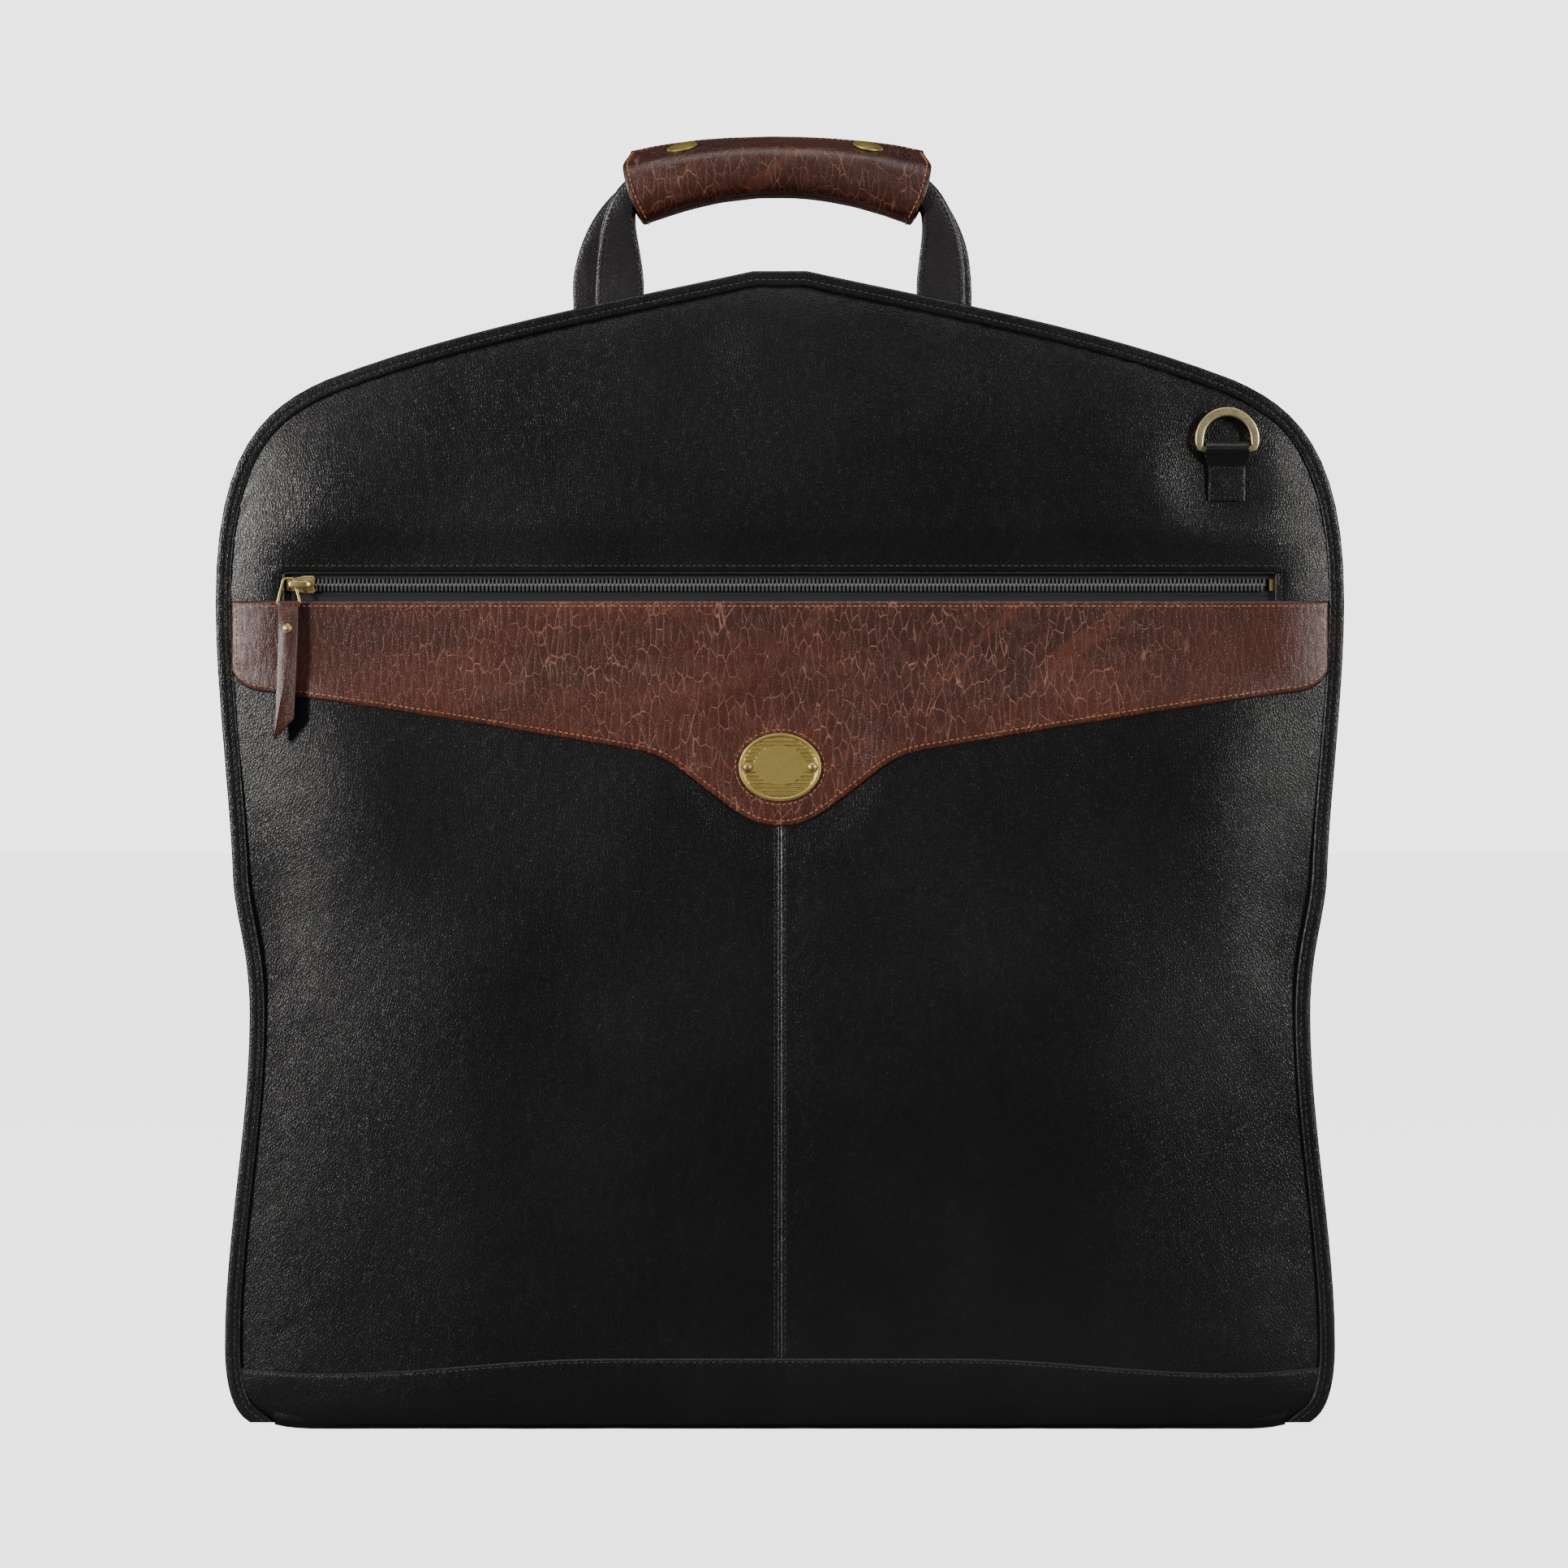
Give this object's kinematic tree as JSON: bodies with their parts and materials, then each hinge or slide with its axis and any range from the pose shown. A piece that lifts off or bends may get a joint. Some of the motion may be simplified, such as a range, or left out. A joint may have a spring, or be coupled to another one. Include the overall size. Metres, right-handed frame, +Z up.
{
  "type": "bi-fold garment bag",
  "caption": "Folded black leather garment bag with a brown yoke, zipped front pocket, oval badge, D-rings and a snap-wrapped double carrying handle.",
  "frame": {"origin": "centre of the underside of the fold spine, on which the folded bag stands", "axes": "+Z up from the fold to the handle, +X to the right across the front, -Y out of the front with the pocket"},
  "size_m": [0.5848, 0.1067, 0.6781],
  "materials": {
    "black_leather": "fine pebbled black leather with a soft semi-matt sheen",
    "brown_leather": "polished dark red-brown leather with a coarse crackle of lighter veins",
    "antique_brass": "dull antique brass with darker recesses",
    "plated_steel": "nickel-plated steel",
    "zip_tape": "woven navy-black zip tape",
    "zip_nylon": "glossy black nylon coil",
    "lining_fabric": "dark woven nylon lining cloth",
    "stiffener_board": "brown pressed fibre board"
  },
  "bodies": {
    "front_half": {"front_outer_binding": "black_leather", "front_inner_binding": "black_leather", "front_bottom_band": "black_leather", "front_gusset_left": "black_leather", "front_gusset_right": "black_leather", "front_inner_panel_left": "lining_fabric", "front_inner_panel_right": "lining_fabric", "front_handle_root_left": "black_leather", "front_handle_root_right": "black_leather", "front_main_zip_chain": "zip_nylon", "front_upper_panel": "black_leather", "front_lower_panel_right": "black_leather", "front_lower_panel_left": "black_leather", "pocket_zip_welt": "black_leather", "pocket_zip_tape_upper": "zip_tape", "pocket_zip_tape_lower": "zip_tape", "pocket_zip_coil_upper": "zip_nylon", "pocket_zip_coil_lower": "zip_nylon", "pocket_zip_stop_left": "antique_brass", "pocket_zip_stop_right": "antique_brass", "pocket_lining": "lining_fabric", "yoke_trim": "brown_leather", "badge_plate": "antique_brass", "badge_rivet_left": "antique_brass", "badge_rivet_right": "antique_brass", "front_d_ring_tab": "black_leather"},
    "pocket_slider": {"pocket_zip_slider": "antique_brass"},
    "pocket_pull": {"pocket_pull_frame": "antique_brass", "pocket_pull_tab": "brown_leather", "pocket_pull_rivet": "antique_brass"},
    "front_ring": {"front_d_ring": "antique_brass"},
    "front_handle": {"front_handle_strap": "black_leather"},
    "main_slider": {"main_zip_slider": "antique_brass"},
    "main_pull": {"main_zip_pull": "antique_brass"},
    "spine": {"fold_spine": "black_leather"},
    "rear_half": {"rear_outer_binding": "black_leather", "rear_inner_binding": "black_leather", "rear_bottom_band": "black_leather", "rear_gusset_left": "black_leather", "rear_gusset_right": "black_leather", "rear_inner_panel_left": "lining_fabric", "rear_inner_panel_right": "lining_fabric", "rear_handle_root_left": "black_leather", "rear_handle_root_right": "black_leather", "rear_main_zip_chain": "zip_nylon", "rear_upper_panel": "black_leather", "rear_lower_panel": "black_leather", "rear_d_ring_tab": "black_leather", "top_stiffener": "stiffener_board", "hanger_bracket": "plated_steel", "hook_sleeve": "black_leather"},
    "rear_ring": {"rear_d_ring": "antique_brass"},
    "rear_handle": {"rear_handle_strap": "black_leather", "wrap_base": "brown_leather"},
    "handle_flap": {"wrap_flap": "brown_leather", "snap_cap_left": "antique_brass", "snap_cap_right": "antique_brass"},
    "bag_hook": {"hanging_hook": "plated_steel", "hook_strap": "black_leather"}
  },
  "joints": [
    {"name": "fold_front", "type": "hinge", "parent": "front_half", "child": "spine", "pos_m": [0, -0.042, 0.006], "axis": [-1, 0, 0], "range_deg": [0, 90], "deforming": ["wrap_flap"]},
    {"name": "fold_rear", "type": "hinge", "parent": "spine", "child": "rear_half", "pos_m": [0, 0.042, 0.006], "axis": [-1, 0, 0], "range_deg": [0, 90], "deforming": ["wrap_flap"]},
    {"name": "handle_tilt", "type": "hinge", "parent": "front_half", "child": "front_handle", "pos_m": [0, 0, 0.6], "axis": [1, 0, 0], "range_deg": [-60, 60]},
    {"name": "rear_handle_tilt", "type": "hinge", "parent": "rear_half", "child": "rear_handle", "pos_m": [0, 0, 0.6], "axis": [1, 0, 0], "range_deg": [-60, 60]},
    {"name": "wrap_flap_open", "type": "hinge", "parent": "rear_handle", "child": "handle_flap", "pos_m": [-0.0015, -0.0112, 0.6335], "axis": [1, 0, 0], "range_deg": [0, 100]},
    {"name": "pocket_zip_run", "type": "slide", "parent": "front_half", "child": "pocket_slider", "axis": [1, 0, 0], "range_m": [0, 0.49]},
    {"name": "pocket_pull_swing", "type": "hinge", "parent": "pocket_slider", "child": "pocket_pull", "pos_m": [-0.2535, -0.0505, 0.4386], "axis": [0, 1, 0], "range_deg": [-45, 85]},
    {"name": "main_zip_run", "type": "slide", "parent": "front_half", "child": "main_slider", "axis": [0, 0, 1], "range_m": [-0.5, 0]},
    {"name": "main_pull_swing", "type": "hinge", "parent": "main_slider", "child": "main_pull", "pos_m": [0, -0.0032, 0.568], "axis": [0, 1, 0], "range_deg": [-80, 80]},
    {"name": "front_ring_swing", "type": "hinge", "parent": "front_half", "child": "front_ring", "pos_m": [0.231, -0.0486, 0.5085], "axis": [1, 0, 0], "range_deg": [0, 155]},
    {"name": "rear_ring_swing", "type": "hinge", "parent": "rear_half", "child": "rear_ring", "pos_m": [-0.231, 0.0486, 0.5085], "axis": [-1, 0, 0], "range_deg": [0, 155]},
    {"name": "hook_pull", "type": "slide", "parent": "rear_half", "child": "bag_hook", "axis": [0, 0, 1], "range_m": [0, 0.043]}
  ],
  "couplings": [
    {"joint": "fold_rear", "follows": "fold_front", "ratio": 1},
    {"joint": "rear_handle_tilt", "follows": "handle_tilt", "ratio": 1}
  ]
}
